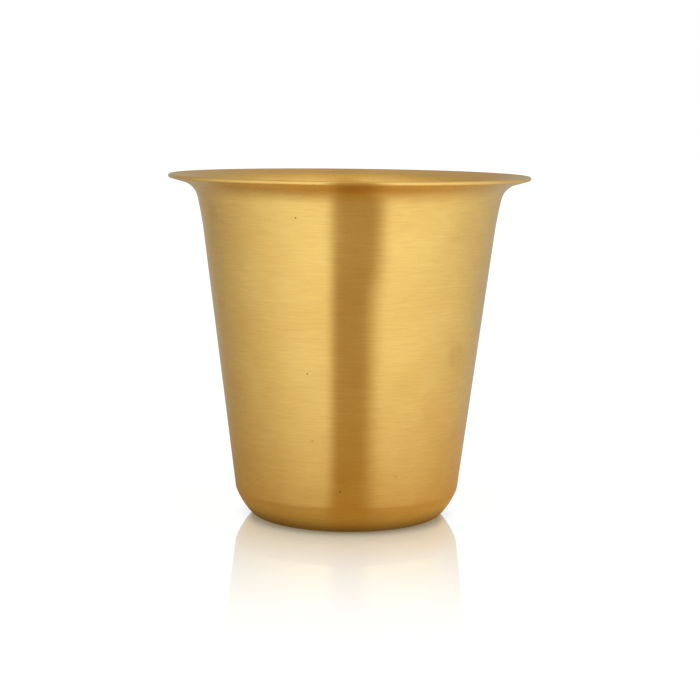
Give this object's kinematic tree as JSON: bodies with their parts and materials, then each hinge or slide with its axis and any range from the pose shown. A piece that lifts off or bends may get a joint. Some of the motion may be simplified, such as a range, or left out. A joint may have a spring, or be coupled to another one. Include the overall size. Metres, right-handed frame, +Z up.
{
  "type": "flared metal tumbler",
  "caption": "Flared brass tumbler with a straight tapering wall, bevelled heel, flat base and wide rolled-out lip, in a brushed satin finish.",
  "frame": {"origin": "centre of the flat base, on the surface that the tumbler stands on", "axes": "+Z up along the tumbler's axis, from the base to the mouth; the tumbler is round, so X and Y are alike"},
  "size_m": [0.0798, 0.0798, 0.076],
  "materials": {
    "brushed_brass": "brushed round the axis, satin, lacquer free, with light tarnish"
  },
  "bodies": {
    "root": {"vessel": "brushed_brass"}
  },
  "joints": []
}
